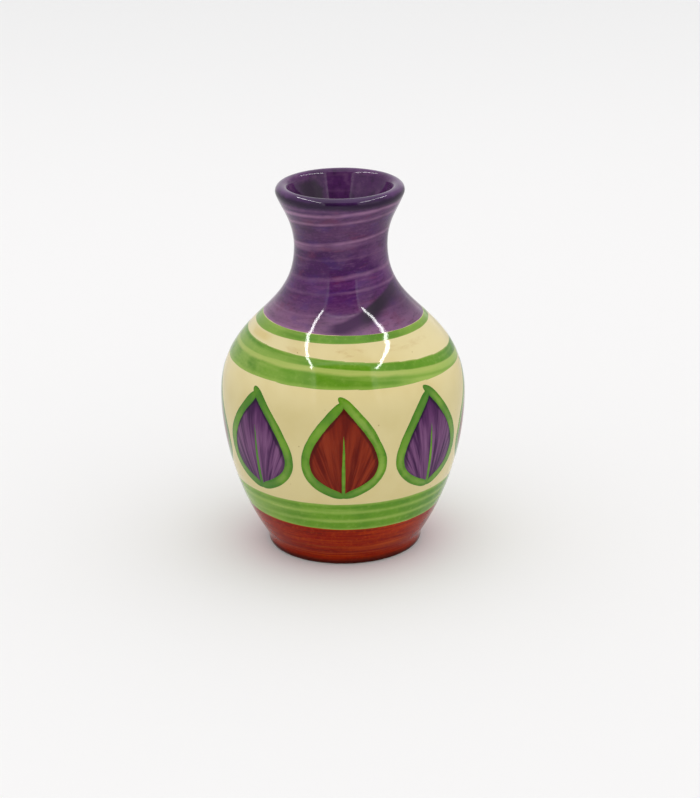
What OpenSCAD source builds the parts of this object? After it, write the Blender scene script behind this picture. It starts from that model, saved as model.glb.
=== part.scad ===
// Miniature baluster vase in glazed and hand-painted earthenware.
// Millimetres, +Z up, origin at the middle of the foot.
// Diameters and heights are those of the finished vase, over its glaze and paint.

/* [Form] */
// Height from the foot to the top of the lip
total_h = 70; // [66:0.5:90]
// Diameter over the lip
rim_d = 23.9; // [22:0.1:32]
// Diameter of the neck at its narrowest
neck_d = 17.4; // [14:0.1:21]
// Depth below the top of the lip at which the neck is narrowest
mouth_depth = 11.7; // [9:0.1:16]
// Diameter of the belly at its widest
belly_d = 46; // [38:0.1:60]
// Height of the widest part of the belly
belly_h = 29.4; // [24:0.1:34]
// Diameter of the foot
foot_d = 29.2; // [22:0.1:36]
// Height at which the foot has turned into the wall
foot_h = 2.8; // [2:0.1:6]

/* [Curves] */
// Lean of the mouth away from upright where it meets the lip, in degrees
lip_lean = 19; // [10:1:40]
// Lean of the wall away from upright above the foot, in degrees
foot_lean = 32; // [15:1:40]
// Fullness of the lower wall at the foot and at the belly
lower_fullness = [0.5, 0.15]; // [0.1:0.05:0.7]
// Fullness of the shoulder at the belly and at the neck
shoulder_fullness = [0.53, 0.48]; // [0.2:0.01:0.7]
// Fullness of the mouth at the neck and at the lip
mouth_fullness = [0.49, 0.28]; // [0.1:0.01:0.7]

/* [Clay] */
// Thickness of the clay wall, which is also that of the lip
wall_t = 1.9; // [1.2:0.1:2.6]
// Thickness of the clay floor
floor_t = 2.6; // [1.8:0.1:3.4]
// Height of the rounded corner where the inside wall meets the floor
floor_corner = 2.4; // [1:0.1:4]
// Width of the ring that the vase stands on
ring_w = 2.6; // [1.5:0.1:4]
// Depth of the hollow under the base
base_hollow = 0.9; // [0.5:0.1:1.5]
// Rounding of the foot's outer edge
foot_edge = 0.8; // [0.4:0.1:1.2]

/* [Glaze and paint] */
// Thickness of the glaze
glaze_t = 0.2; // [0.1:0.05:0.4]
// Thickness of the paint
paint_t = 0.1; // [0.05:0.01:0.2]

/* [Painted bands] */
// How far the lip's dark band runs down the outside
lip_band_depth = 2.8; // [2.2:0.1:5]
// How far the purple runs down the inside of the mouth
mouth_band_depth = 15; // [5:0.5:18]
// How far the purple runs down below the narrowest part of the neck
neck_band_depth = 12.8; // [9:0.1:15]
// Height of the green line under the purple neck
shoulder_line_h = 1.2; // [0.6:0.1:2.5]
// Height of the bare cream band on the shoulder
cream_band_h = 2.8; // [1:0.1:4]
// Heights of the two green strokes above the leaves, from the top
upper_stroke_h = [1.5, 2.8]; // [1:0.1:4]
// Height of each green stroke below the leaves
lower_stroke_h = 1.9; // [1:0.1:2.5]
// How many green strokes there are below the leaves
lower_strokes = 3; // [1:1:4]
// Height of the upper edge of the red foot
foot_band_top = 9; // [5:0.1:10]

/* [Painted leaves] */
// How many pairs of leaves go round the belly
leaf_pairs = 4; // [2:1:5]
// Width of a leaf over its green outline
leaf_w = 15.8; // [8:0.1:16.5]
// Width of the green outline
outline_w = 1.8; // [0.8:0.1:2.2]
// Width of the green rib at the foot of a leaf
rib_w = 1.2; // [0.6:0.1:2]
// Height of the rib as a share of the leaf's
rib_share = 0.72; // [0.3:0.01:0.8]
// Bare glaze between a leaf's tips and the bands
leaf_gap = 0.8; // [0.3:0.1:2]

/* [Hidden] */
$fn = 96;
// Steps in which each stretch of the outline is drawn
foot_steps = 4;
lower_steps = 18;
shoulder_steps = 24;
mouth_steps = 10;
lip_steps = 8;
floor_steps = 10;
edge_steps = 5;
leaf_steps = 12;

// What lies over the clay, and sizes that follow
skin_t = glaze_t + paint_t;
lip_r = wall_t / 2;
neck_h = total_h - mouth_depth;
floor_h = base_hollow + floor_t;

// How far the glaze and the paint reach under the foot's rounded edge, in degrees
foot_wrap = asin(0.85 * foot_edge / (foot_edge + skin_t));

// Stations of the clay's outline, each [radius, height]
foot = [foot_d / 2 - skin_t, foot_edge];
spring = [foot.x + (foot_h - foot_edge) * tan(foot_lean) / 2, foot_h];
belly = [belly_d / 2 - skin_t, belly_h];
neck = [neck_d / 2 - skin_t, neck_h];
lip_centre = [rim_d / 2 - skin_t - lip_r, total_h - skin_t - lip_r];
lip_start = lip_centre + lip_r * [cos(lip_lean), -sin(lip_lean)];
ring_r = foot.x - foot_edge - ring_w;

// Directions in which the outline climbs
upright = [0, 1];
foot_climb = [sin(foot_lean), cos(foot_lean)];
lip_climb = [sin(lip_lean), cos(lip_lean)];

// A point of the outline is [place, normal], and the normal points away from the clay.
function unit(v) = v / norm(v);
function blend(a, b, share) = a + (b - a) * share;
function curve_place(b, t) =
    b[0] * pow(1 - t, 3) + 3 * b[1] * t * pow(1 - t, 2) + 3 * b[2] * t * t * (1 - t) + b[3] * pow(t, 3);
function curve_way(b, t) =
    (b[1] - b[0]) * pow(1 - t, 2) + 2 * (b[2] - b[1]) * t * (1 - t) + (b[3] - b[2]) * t * t;
function curve_point(b, t) = let (way = unit(curve_way(b, t))) [curve_place(b, t), [way.y, -way.x]];
function curve(b, steps) = [for (i = [0 : steps - 1]) curve_point(b, i / steps)];
function climb(low, low_way, high, high_way, fullness) =
    let (rise = high.y - low.y)
    [low, low + low_way * fullness[0] * rise, high - high_way * fullness[1] * rise, high];

// The foot's rounded edge between two angles, without the last point
function foot_arc(from, to) = [
    for (i = [0 : edge_steps - 1])
        let (a = blend(from, to, i / edge_steps), out = [cos(a), sin(a)])
        [foot + foot_edge * (out - [1, 0]), out]
];

// The clay's outside from the foot to the lip
outside = concat(
    foot_arc(-foot_wrap, 0),
    curve(climb(foot, upright, spring, foot_climb, [1 / 3, 1 / 3]), foot_steps),
    curve(climb(spring, foot_climb, belly, upright, lower_fullness), lower_steps),
    curve(climb(belly, upright, neck, upright, shoulder_fullness), shoulder_steps),
    curve(climb(neck, upright, lip_start, lip_climb, mouth_fullness), mouth_steps)
);

// The half-round lip, up to its crest and down into the mouth
function angles(from, to) = [for (i = [0 : lip_steps - 1]) blend(from, to, i / lip_steps)];
lip_angles = concat(angles(-lip_lean, 90), angles(90, 180 - lip_lean), [180 - lip_lean]);
lip = [for (a = lip_angles) let (out = [cos(a), sin(a)]) [lip_centre + lip_r * out, out]];

// The inside, which follows the outside down to the rounded corner, and the floor
wall_inside = [
    for (i = [len(outside) - 1 : -1 : 0])
        let (place = outside[i][0] - wall_t * outside[i][1])
        if (place.y > floor_h + floor_corner) [place, -outside[i][1]]
];
corner = wall_inside[len(wall_inside) - 1];
corner_way = [-corner[1].y, corner[1].x];
corner_foot = corner[0] + corner_way * (corner[0].y - floor_h) / -corner_way.y;
floor_curve = [corner[0], corner_foot, [corner_foot.x / 2, floor_h], [0, floor_h]];
floor_inside = [for (i = [1 : floor_steps]) curve_point(floor_curve, i / floor_steps)];

// The whole outline. A station is an index into it, and may lie between two points.
outline = concat(outside, lip, wall_inside, floor_inside);
crest_at = len(outside) + lip_steps;
mouth_at = crest_at + lip_steps;
floor_at = len(outline) - 1;
function station(at) =
    let (i = min(floor(at), len(outline) - 2))
    [for (k = [0, 1]) blend(outline[i][k], outline[i + 1][k], at - i)];
function raised(p, by) = p[0] + by * p[1];
function run(first, last, by) = concat(
    [raised(station(first), by)],
    [for (i = [0 : len(outline) - 1]) if (i > first + 1e-6 && i < last - 1e-6) raised(outline[i], by)],
    [raised(station(last), by)]
);
function reversed(list) = [for (i = [len(list) - 1 : -1 : 0]) list[i]];

// Stations by height, outside and inside the mouth
outside_heights = [for (i = [0 : crest_at]) [outline[i][0].y, i]];
mouth_heights = [for (i = [mouth_at : mouth_at + mouth_steps + shoulder_steps]) [-outline[i][0].y, i]];
function outside_at(height) = lookup(height, outside_heights);
function mouth_at_height(height) = lookup(-height, mouth_heights);

// Heights at which the bands end
lip_band_low = total_h - lip_band_depth;
mouth_band_low = total_h - mouth_band_depth;
neck_band_low = neck_h - neck_band_depth;
shoulder_line_low = neck_band_low - shoulder_line_h;
upper_strokes_top = shoulder_line_low - cream_band_h;
upper_strokes_low = upper_strokes_top - upper_stroke_h[0] - upper_stroke_h[1];
lower_strokes_top = foot_band_top + lower_strokes * lower_stroke_h;

// A leaf has a round foot and a pointed tip, and stays within its own place on the belly
leaf_count = 2 * leaf_pairs;
leaf_turn = 360 / leaf_count;
leaf_span = min(leaf_w, 0.95 * belly_d * sin(leaf_turn / 2));
leaf_h = upper_strokes_low - lower_strokes_top - 2 * leaf_gap;
leaf_low = lower_strokes_top + leaf_gap;
leaf_foot_way = [0.75, 0.2];
leaf_tip_way = [0.55, 0.55];

clay_colour = "#d8c7a6";
glaze_colour = "#dccb98";
purple = "#5a3a62";
dark_purple = "#3c2546";
green = "#63943a";
red = "#8a2a18";

// Section of a layer on the outline from one station to another, between two heights over the clay
module layer(first, last, low, high) {
    polygon(concat(run(first, last, low), reversed(run(first, last, high))));
}

// A layer that goes right round the vase
module coat(first, last, low, high) {
    rotate_extrude() layer(first, last, low, high);
}

// A ring of paint on the outside, between two heights
module band(low, high) {
    coat(outside_at(low), outside_at(high), glaze_t, skin_t);
}

// The fired clay: wall, lip, floor and the ring that it stands on
module clay_body() {
    under = [[0, base_hollow], [ring_r, base_hollow], [ring_r, 0]];
    section = concat(foot_arc(-90, -foot_wrap), outline);
    color(clay_colour) rotate_extrude() polygon(concat(under, [for (p = section) p[0]]));
}

// The glaze in the hollow under the base
module base_glaze() {
    color(glaze_colour) translate([0, 0, base_hollow - glaze_t]) cylinder(r = ring_r, h = glaze_t);
}

// The glaze poured inside, from the crest of the lip to the middle of the floor
module liner_glaze() {
    color(glaze_colour) coat(crest_at, floor_at, 0, glaze_t);
}

// The glaze that the outside was dipped in, from the foot's edge to the crest of the lip
module outer_glaze() {
    color(glaze_colour) coat(0, crest_at, 0, glaze_t);
}

// Purple inside the mouth
module mouth_band() {
    color(purple) coat(mouth_at, mouth_at_height(mouth_band_low), glaze_t, skin_t);
}

// Dark purple over the lip
module lip_band() {
    color(dark_purple) coat(outside_at(lip_band_low), mouth_at, glaze_t, skin_t);
}

// Purple on the neck and the top of the shoulder
module neck_band() {
    color(purple) band(neck_band_low, lip_band_low);
}

// Green line that closes the purple neck
module shoulder_line() {
    color(green) band(shoulder_line_low, neck_band_low);
}

// Green stroke above the leaves, counted from the top
module upper_stroke(i) {
    top = i == 1 ? upper_strokes_top : upper_strokes_top - upper_stroke_h[0];
    color(green) band(top - upper_stroke_h[i - 1], top);
}

// Green stroke below the leaves, counted from the bottom
module lower_stroke(i) {
    low = foot_band_top + (i - 1) * lower_stroke_h;
    color(green) band(low, low + lower_stroke_h);
}

// Red foot
module foot_band() {
    color(red) coat(0, outside_at(foot_band_top), glaze_t, skin_t);
}

// Outline of a leaf drawn flat, from its foot up, pulled in by a distance from its outer edge
module leaf_shape(pull) {
    low = [0, 1.15 * pull];
    size = [leaf_span - 2 * pull, leaf_h - 2.75 * pull];
    side = [low, low + [for (k = [0, 1]) leaf_foot_way[k] * size[k]],
            low + [for (k = [0, 1]) leaf_tip_way[k] * size[k]], low + [0, size.y]];
    right = [for (i = [0 : leaf_steps]) curve_place(side, i / leaf_steps)];
    left = [for (i = [leaf_steps - 1 : -1 : 1]) [-right[i].x, right[i].y]];
    polygon(concat(right, left));
}

// Rib of a leaf drawn flat, from the foot up to a point
module leaf_rib() {
    polygon([[-rib_w / 2, 0], [rib_w / 2, 0], [0, min(rib_share, 0.8) * leaf_h]]);
}

// Field of colour within a leaf's outline and beside its rib, drawn flat
module leaf_field() {
    difference() {
        leaf_shape(outline_w);
        leaf_rib();
    }
}

// Paint on the belly within a flat shape that is laid on it at one of the leaves' places
module painted(place) {
    sector = leaf_turn * 0.98;
    rotate([0, 0, (place - 1) * leaf_turn]) intersection() {
        rotate([0, 0, -90 - sector / 2]) rotate_extrude(angle = sector)
            layer(outside_at(lower_strokes_top), outside_at(upper_strokes_low), glaze_t, skin_t);
        translate([0, 0, leaf_low]) rotate([90, 0, 0]) linear_extrude(belly_d) children();
    }
}

// Red leaves stand at the odd places, and the first of them at the front
module red_leaf(i) {
    color(red) painted(2 * i - 1) leaf_field();
}

// Purple leaves stand at the even places
module purple_leaf(i) {
    color(purple) painted(2 * i) leaf_field();
}

// Green outline and rib of the leaf at a place
module leaf_outline(place) {
    color(green) painted(place) difference() {
        leaf_shape(0);
        leaf_field();
    }
}

clay_body();
base_glaze();
liner_glaze();
outer_glaze();
mouth_band();
lip_band();
neck_band();
shoulder_line();
upper_stroke(1);  // upper_stroke_1
upper_stroke(2);  // upper_stroke_2
for (i = [1 : lower_strokes]) lower_stroke(i);
foot_band();
for (i = [1 : leaf_pairs]) red_leaf(i);
for (i = [1 : leaf_pairs]) purple_leaf(i);
for (i = [1 : leaf_count]) leaf_outline(i);
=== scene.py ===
import math
import bpy
from mathutils import Matrix, Vector


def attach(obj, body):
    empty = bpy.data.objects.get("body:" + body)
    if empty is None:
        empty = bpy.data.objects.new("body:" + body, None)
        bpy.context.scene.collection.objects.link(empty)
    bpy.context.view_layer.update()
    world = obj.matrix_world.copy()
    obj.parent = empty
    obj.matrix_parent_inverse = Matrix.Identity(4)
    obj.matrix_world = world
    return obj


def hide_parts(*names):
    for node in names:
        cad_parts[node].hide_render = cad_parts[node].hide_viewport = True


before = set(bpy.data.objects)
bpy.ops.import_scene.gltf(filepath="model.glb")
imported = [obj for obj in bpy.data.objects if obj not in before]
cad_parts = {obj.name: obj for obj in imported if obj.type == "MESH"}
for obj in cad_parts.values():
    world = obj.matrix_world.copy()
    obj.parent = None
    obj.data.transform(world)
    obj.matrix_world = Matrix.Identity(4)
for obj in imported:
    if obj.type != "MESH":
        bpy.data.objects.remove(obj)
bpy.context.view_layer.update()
mm = 0.001
print("frame loaded:", len(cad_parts), "nodes")


class Wire:  # one output socket, which can stand in a sum
    def __init__(self, graph, socket):
        self.graph = graph
        self.socket = socket

    def __add__(self, other):
        return self.graph.math("ADD", self, other)

    def __radd__(self, other):
        return self.graph.math("ADD", other, self)

    def __sub__(self, other):
        return self.graph.math("SUBTRACT", self, other)

    def __rsub__(self, other):
        return self.graph.math("SUBTRACT", other, self)

    def __mul__(self, other):
        return self.graph.math("MULTIPLY", self, other)

    def __rmul__(self, other):
        return self.graph.math("MULTIPLY", other, self)

    def __truediv__(self, other):
        return self.graph.math("DIVIDE", self, other)

    def __neg__(self):
        return self.graph.math("MULTIPLY", self, -1.0)

    def __abs__(self):
        return self.graph.math("ABSOLUTE", self)


class Graph:  # a node tree of a material, the world or a shape
    def __init__(self, tree):
        self.tree = tree

    def feed(self, socket, value):
        if isinstance(value, Wire):
            self.tree.links.new(value.socket, socket)
        else:
            socket.default_value = value

    def node(self, kind, settings=None, inputs=None, out=0):
        made = self.tree.nodes.new(kind)
        for key, value in (settings or {}).items():
            if key == "stops":  # of a colour ramp
                for place, colour in value[1:-1]:
                    made.color_ramp.elements.new(place).color = colour
                for end in (0, -1):
                    made.color_ramp.elements[end].position, made.color_ramp.elements[end].color = value[end]
            else:
                setattr(made, key, value)
        for key, value in (inputs or {}).items():
            self.feed(made.inputs[key], value)
        if out is None:
            return made
        if isinstance(out, tuple):
            return [Wire(self, made.outputs[key]) for key in out]
        return Wire(self, made.outputs[out])

    def math(self, operation, *values):
        return self.node("ShaderNodeMath", {"operation": operation}, dict(enumerate(values)))

    def split(self, vector):
        return self.node("ShaderNodeSeparateXYZ", None, {0: vector}, out=(0, 1, 2))

    def join(self, x, y, z):
        return self.node("ShaderNodeCombineXYZ", None, {0: x, 1: y, 2: z})

    def ease(self, value, low, high, start=0.0, end=1.0):  # smooth step from low to high
        return self.node("ShaderNodeMapRange", {"interpolation_type": "SMOOTHSTEP"},
                         {0: value, 1: low, 2: high, 3: start, 4: end})

    def span(self, value, start, full, fading, gone):  # rises from start to full, and falls from fading to gone
        return self.ease(value, start, full) * self.ease(value, gone, fading)

    def noise(self, vector, scale, seed, detail=2.0, rough=0.5):
        return self.node("ShaderNodeTexNoise", {"noise_dimensions": "4D"},
                         {"Vector": vector, "W": seed, "Scale": scale, "Detail": detail, "Roughness": rough})

    def blend(self, share, low, high):  # colours
        return self.node("ShaderNodeMix", {"data_type": "RGBA"}, {0: share, 6: low, 7: high}, out=2)

    def layer(self, colour, other, value, low, high, share=None):  # lays on another colour where a value is high
        cover = self.ease(value, low, high)
        return self.blend(cover if share is None else cover * share, colour, other)


def emptyGraph(owner):  # of a material or the world
    owner.use_nodes = True
    owner.node_tree.nodes.clear()
    return Graph(owner.node_tree)


def addObject(name, data):
    made = bpy.data.objects.new(name, data)
    bpy.context.scene.collection.objects.link(made)
    return made


# The vase's sizes in millimetres; leans are degrees from upright
vaseForm = {
    "height": 70.0, "rim": 23.9, "neck": 17.4, "mouthDepth": 11.7, "belly": 46.0, "bellyHeight": 29.4,
    "foot": 29.2, "footHeight": 2.8, "lipLean": 19.0, "footLean": 32.0,
    "lowerFullness": (0.5, 0.15), "shoulderFullness": (0.53, 0.48), "mouthFullness": (0.49, 0.28),
    "wall": 1.9, "floor": 2.6, "floorCorner": 2.4, "ringWidth": 2.6, "baseHollow": 0.9, "footEdge": 0.8,
    "glazedEdge": 0.85, "glaze": 0.2, "paint": 0.1, "relief": 0.012, "unevenness": 0.03, "unevenScale": 210.0,
}
outlineSteps = {"edge": 10, "foot": 12, "lower": 60, "shoulder": 80, "mouth": 30, "lip": 32, "floor": 24}


def curvePoint(b, t):  # place and outward normal on a cubic curve
    u = 1 - t
    weights = (u ** 3, 3 * u * u * t, 3 * u * t * t, t ** 3)
    slopes = (u * u, 2 * u * t, t * t)
    place = [sum(w * p[k] for w, p in zip(weights, b)) for k in (0, 1)]
    way = [sum(s * (q[k] - p[k]) for s, p, q in zip(slopes, b, b[1:])) for k in (0, 1)]
    size = math.hypot(*way)
    return place, (way[1] / size, -way[0] / size)


def climb(low, lowLean, high, highLean, fullness, steps):  # a stretch of the wall between two points
    rise = high[1] - low[1]
    ends = [(math.sin(math.radians(lean)), math.cos(math.radians(lean))) for lean in (lowLean, highLean)]
    b = [low, [low[k] + ends[0][k] * fullness[0] * rise for k in (0, 1)],
         [high[k] - ends[1][k] * fullness[1] * rise for k in (0, 1)], high]
    return [curvePoint(b, i / steps) for i in range(steps)]


def clayOutline(form, steps):  # lines of [radius, height] up the outside, over the lip, down the inside, to the axis
    skin = form["glaze"] + form["paint"]
    lipRadius = form["wall"] / 2
    lean = math.radians(form["lipLean"])
    foot = (form["foot"] / 2 - skin, form["footEdge"])
    turnOut = (form["footHeight"] - form["footEdge"]) * math.tan(math.radians(form["footLean"])) / 2
    spring = (foot[0] + turnOut, form["footHeight"])
    belly = (form["belly"] / 2 - skin, form["bellyHeight"])
    neck = (form["neck"] / 2 - skin, form["height"] - form["mouthDepth"])
    lip = (form["rim"] / 2 - skin - lipRadius, form["height"] - skin - lipRadius)
    lipStart = (lip[0] + lipRadius * math.cos(lean), lip[1] - lipRadius * math.sin(lean))
    wrap = math.asin(form["glazedEdge"] * form["footEdge"] / (form["footEdge"] + skin))
    outside = []
    for i in range(steps["edge"]):  # glaze and paint go round the foot's edge
        a = -wrap * (1 - i / steps["edge"])
        out = (math.cos(a), math.sin(a))
        outside.append(([foot[0] + form["footEdge"] * (out[0] - 1), foot[1] + form["footEdge"] * out[1]], out))
    outside += climb(foot, 0, spring, form["footLean"], (1 / 3, 1 / 3), steps["foot"])
    outside += climb(spring, form["footLean"], belly, 0, form["lowerFullness"], steps["lower"])
    outside += climb(belly, 0, neck, 0, form["shoulderFullness"], steps["shoulder"])
    outside += climb(neck, 0, lipStart, form["lipLean"], form["mouthFullness"], steps["mouth"])
    arc = [math.radians(-form["lipLean"] + 180 * i / steps["lip"]) for i in range(steps["lip"] + 1)]
    over = [(lip[0] + lipRadius * math.cos(a), lip[1] + lipRadius * math.sin(a)) for a in arc]
    floorHeight = form["baseHollow"] + form["floor"]
    inside = [((p[0] - form["wall"] * n[0], p[1] - form["wall"] * n[1]), n) for p, n in reversed(outside)]
    inside = [pn for pn in inside if pn[0][1] > floorHeight + form["floorCorner"]]
    corner, n = inside[-1]
    down = (n[1], -n[0])
    reach = (corner[1] - floorHeight) / n[0]
    cornerFoot = (corner[0] + down[0] * reach, floorHeight)
    floorCurve = [corner, cornerFoot, (cornerFoot[0] / 2, floorHeight), (0.0, floorHeight)]
    floor = [curvePoint(floorCurve, (i + 1) / steps["floor"])[0] for i in range(steps["floor"])]
    return [p for p, n in outside], over, [p for p, n in inside], floor, foot, math.degrees(wrap)


outsideLine, lipLine, insideLine, floorLine, footPoint, footWrap = clayOutline(vaseForm, outlineSteps)
wallLine = [(r * mm, z * mm) for r, z in outsideLine + lipLine + insideLine + floorLine]
wallLengths = [0.0]
for a, b in zip(wallLine, wallLine[1:]):
    wallLengths.append(wallLengths[-1] + math.dist(a, b))
crestIndex = max(range(len(wallLine)), key=lambda i: wallLine[i][1])
mouthIndex = len(outsideLine) + len(lipLine) - 1
crestLength = wallLengths[crestIndex]
mouthLength = wallLengths[mouthIndex]
wholeLength = wallLengths[-1]


def lengthAt(height, inside=False):  # distance along the outline at a height in millimetres
    steps = range(mouthIndex, len(wallLine) - 1) if inside else range(crestIndex)
    for i in steps:
        low, high = sorted((wallLine[i][1], wallLine[i + 1][1]))
        if low <= height * mm <= high and high > low:
            share = (height * mm - wallLine[i][1]) / (wallLine[i + 1][1] - wallLine[i][1])
            return wallLengths[i] + share * (wallLengths[i + 1] - wallLengths[i])
    return 0.0


def startShape(name, inputs):  # a tree with named inputs, whose geometry comes in as a line
    tree = bpy.data.node_groups.new(name, "GeometryNodeTree")
    kinds = {float: "NodeSocketFloat", int: "NodeSocketInt", type(None): "NodeSocketMaterial"}
    tree.interface.new_socket(name="Line", in_out="INPUT", socket_type="NodeSocketGeometry")
    for label, value in inputs.items():
        socket = tree.interface.new_socket(name=label, in_out="INPUT", socket_type=kinds[type(value)])
        if value is not None:
            socket.default_value = value
    tree.interface.new_socket(name="Shape", in_out="OUTPUT", socket_type="NodeSocketGeometry")
    g = Graph(tree)
    source = g.node("NodeGroupInput", out=None)
    given = {label: Wire(g, source.outputs[label]) for label in ["Line", *inputs]}
    given["Line"] = g.node("GeometryNodeMeshToCurve", None, {"Mesh": given["Line"]})
    return g, given


def endShape(g, shape, finish):  # closes the seams and sets the material
    merged = g.node("GeometryNodeMergeByDistance", None, {"Geometry": shape, "Distance": 0.0002 * mm})
    smooth = g.node("GeometryNodeSetShadeSmooth", None, {"Geometry": merged})
    real = g.node("GeometryNodeRealizeInstances", None, {"Geometry": smooth})
    painted = g.node("GeometryNodeSetMaterial", None, {"Geometry": real, "Material": finish})
    g.node("NodeGroupOutput", None, {0: painted}, out=None)
    return g.tree


def sheetGrid(g, columns, rows):  # a flat grid, and its two shares from 0 to 1
    grid = g.node("GeometryNodeMeshGrid", None,
                  {"Size X": 1.0, "Size Y": 1.0, "Vertices X": columns, "Vertices Y": rows})
    x, y = g.split(g.node("GeometryNodeInputPosition"))[:2]
    return grid, x + 0.5, y + 0.5


def onWall(g, line, turn, along, lift):  # a place over the clay, at a turn from the front to the right
    place, way = g.node("GeometryNodeSampleCurve", {"mode": "LENGTH"}, {"Curves": line, "Length": along},
                        out=("Position", "Tangent"))
    r, z = g.split(place)[::2]
    wayR, wayZ = g.split(way)[::2]
    right = g.math("SINE", turn)
    front = g.math("COSINE", turn)
    swell = g.noise(g.join(r * right, r * front, z), vaseForm["unevenScale"], 3.0, 1.0) - 0.5
    lift = lift + swell * (2 * vaseForm["unevenness"] * mm)
    r = r + wayZ * lift
    z = z - wayR * lift
    return g.join(r * right, -(r * front), z)


def lengthRadius(g, line, along):  # the clay's radius at a distance along the outline
    place = g.node("GeometryNodeSampleCurve", {"mode": "LENGTH"}, {"Curves": line, "Length": along}, out="Position")
    return g.split(place)[0]


def filmLift(g, inset, taper, low, film):  # paint that rounds off to its edge
    near = g.math("MINIMUM", inset / taper, 1.0)
    rest = 1.0 - near
    return low + film * (1.0 - rest * rest)


def closerEnds(g, share):  # sets steps closer together towards both ends
    return 0.5 - 0.5 * g.math("COSINE", share * math.pi)


def loopShares(g, v, topShare):  # a section goes out over the top and back underneath
    onTop = g.math("LESS_THAN", v, topShare + 1e-5)
    top = closerEnds(g, g.math("MINIMUM", v / topShare, 1.0))
    under = g.math("MINIMUM", (1.0 - v) / (1.0 - topShare), 1.0)
    return onTop, onTop * top + (1.0 - onTop) * under


def keepEdge(g, shape, inset, drop, side=0.0):  # distances from the paint's edge, upper end and middle
    for label, value in (("edge", inset), ("drop", drop), ("side", side)):
        shape = g.node("GeometryNodeStoreNamedAttribute", {"data_type": "FLOAT", "domain": "POINT"},
                       {"Geometry": shape, "Name": label, "Value": value})
    return shape


filmTop = 0.75  # the share of a film's section that lies on its top


def coatTree():  # glaze or paint that goes right round the vase
    g, given = startShape("coat", {
        "Low": 0.0, "High": 0.01, "Tilt Low": 0.0, "Tilt High": 0.0, "Sag Low": 0.0, "Sag High": 0.0, "Wobble": 0.0,
        "Seed": 1.0, "Under": 0.0, "Base": 0.0, "Film": 0.0002, "Taper": 0.0001, "Around": 193, "Rows": 61,
        "Top Share": filmTop, "Finish": None})
    grid, u, v = sheetGrid(g, given["Around"], given["Rows"])
    turn = u * (2 * math.pi)
    onTop, w = loopShares(g, v, given["Top Share"])
    left = -g.math("SINE", turn)
    front = g.math("COSINE", turn)
    ring = g.join(front, left, 0.0)
    edges = []
    for end, shift in (("Low", 0.0), ("High", 17.0)):
        wave = g.noise(ring, 2.6, given["Seed"] + shift, 3.0) - 0.5
        sag = given["Sag " + end] * left * left  # lower at both sides than at the front and back
        edges.append(given[end] + given["Tilt " + end] * left - sag + given["Wobble"] * 2.0 * wave)
    along = edges[0] + (edges[1] - edges[0]) * w
    inset = g.math("MINIMUM", along - edges[0], edges[1] - along)
    top = filmLift(g, inset, given["Taper"], given["Base"], given["Film"])
    lift = onTop * top + (1.0 - onTop) * given["Under"]
    place = onWall(g, given["Line"], turn, along, lift)
    marked = keepEdge(g, grid, inset, edges[1] - along)
    shape = g.node("GeometryNodeSetPosition", None, {"Geometry": marked, "Position": place})
    return endShape(g, shape, given["Finish"])


def turnedTree():  # a solid turned from a line that starts and ends on the axis
    g, given = startShape("turned", {"Around": 193, "Points": 100, "Finish": None})
    grid, u, v = sheetGrid(g, given["Around"], given["Points"])
    index = g.math("ROUND", v * (given["Points"] - 1.0))
    place = g.node("GeometryNodeSampleIndex", {"data_type": "FLOAT_VECTOR", "domain": "POINT"},
                   {"Geometry": given["Line"], "Value": g.node("GeometryNodeInputPosition"), "Index": index})
    r, z = g.split(place)[::2]
    turn = u * (2 * math.pi)
    turned = g.join(r * g.math("SINE", turn), -(r * g.math("COSINE", turn)), z)
    shape = g.node("GeometryNodeSetPosition", None, {"Geometry": grid, "Position": turned})
    return endShape(g, shape, given["Finish"])


leafInputs = {"Turn": 0.0, "Low": 0.0, "High": 0.02, "Width": 0.014, "Foot Swell": 0.75, "Foot Rise": 0.2,
              "Tip Swell": 0.55, "Tip Rise": 0.55, "Lean": 0.0, "Wobble": 0.0, "Seed": 1.0, "Under": 0.0, "Base": 0.0,
              "Film": 0.0001, "Taper": 0.0005}
leafStroke = {"swell": 0.7, "roundEnd": 0.14, "footOverrun": 0.3, "overruns": ((1.0, 1.0), (-1.0, 0.1)),
              "ribSwell": 0.6, "ribTaper": 1.6, "step": 0.005}


def leafSide(given, t):  # half the width, and the rise, at a share of the way up a leaf's side
    s = 1.0 - t
    first = 3.0 * t * s * s
    second = 3.0 * t * t * s
    across = given["Width"] * (first * given["Foot Swell"] + second * given["Tip Swell"])
    rise = (given["High"] - given["Low"]) * (first * given["Foot Rise"] + second * given["Tip Rise"] + t * t * t)
    return across, rise


def leafGrid(g, given):  # a grid, what of it lies on top, and its shares across and along
    grid, u, v = sheetGrid(g, given["Columns"], given["Rows"])
    onTop, w = loopShares(g, u, filmTop)
    return grid, onTop, w, closerEnds(g, v)


def layOnLeaf(g, given, grid, onTop, inset, x, rise):  # lays a grid on the wall within a leaf's place
    top = filmLift(g, inset, given["Taper"], given["Base"], given["Film"])
    lift = onTop * top + (1.0 - onTop) * given["Under"]
    along = given["Low"] + rise
    leant = x + (rise - 0.5 * (given["High"] - given["Low"])) * given["Lean"]
    turn = given["Turn"] + leant / lengthRadius(g, given["Line"], along)
    marked = keepEdge(g, grid, inset, given["High"] - along, x)
    place = onWall(g, given["Line"], turn, along, lift)
    return g.node("GeometryNodeSetPosition", None, {"Geometry": marked, "Position": place})


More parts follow.
